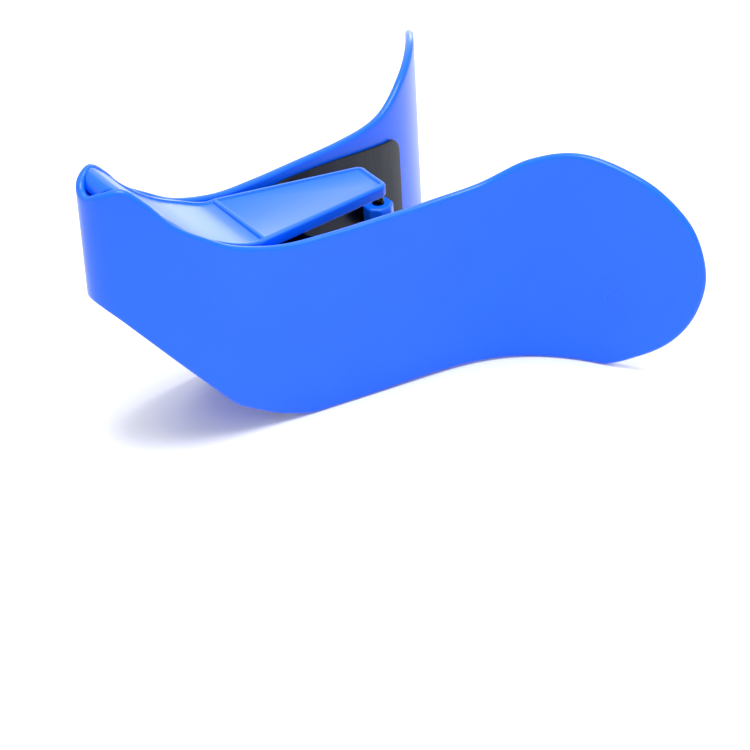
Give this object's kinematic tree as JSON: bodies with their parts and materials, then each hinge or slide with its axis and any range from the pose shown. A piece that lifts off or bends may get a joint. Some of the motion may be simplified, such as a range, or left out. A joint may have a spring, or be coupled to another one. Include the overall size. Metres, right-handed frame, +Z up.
{
  "type": "thigh and hip squeeze trainer",
  "caption": "Springy blue clip squeezed between the thighs: a narrow closed end, two long wings that flare into paddles, and a U of black spring steel that pushes them apart.",
  "frame": {"origin": "on the floor, under the middle of the length and on the plane of symmetry", "axes": "+X from the closed end to the open end, +Y towards the left wing, +Z up"},
  "size_m": [0.268, 0.2702, 0.1478],
  "materials": {
    "blue_polypropylene": "satin gloss, moulded",
    "black_spring_steel": "polished black",
    "black_pin_steel": "gloss black"
  },
  "bodies": {
    "moulding": {"closed_end": "blue_polypropylene", "cross_wall": "blue_polypropylene", "tongue_ramp": "blue_polypropylene", "tongue_plate": "blue_polypropylene", "spring_plate": "black_spring_steel"},
    "left_side": {"left_wing": "blue_polypropylene", "left_boss": "blue_polypropylene", "left_pin": "black_pin_steel"},
    "right_side": {"right_wing": "blue_polypropylene", "right_boss": "blue_polypropylene", "right_pin": "black_pin_steel"}
  },
  "joints": [
    {"name": "left_squeeze", "type": "hinge", "parent": "moulding", "child": "left_side", "pos_m": [-0.04, 0.03195, 0.05], "axis": [0, 0, -1], "range_deg": [0, 14], "stiffness_Nm_per_rad": 40, "deforming": ["spring_plate"]},
    {"name": "right_squeeze", "type": "hinge", "parent": "moulding", "child": "right_side", "pos_m": [-0.04, -0.03195, 0.05], "axis": [0, 0, 1], "range_deg": [0, 14], "stiffness_Nm_per_rad": 40, "deforming": ["spring_plate"]}
  ]
}
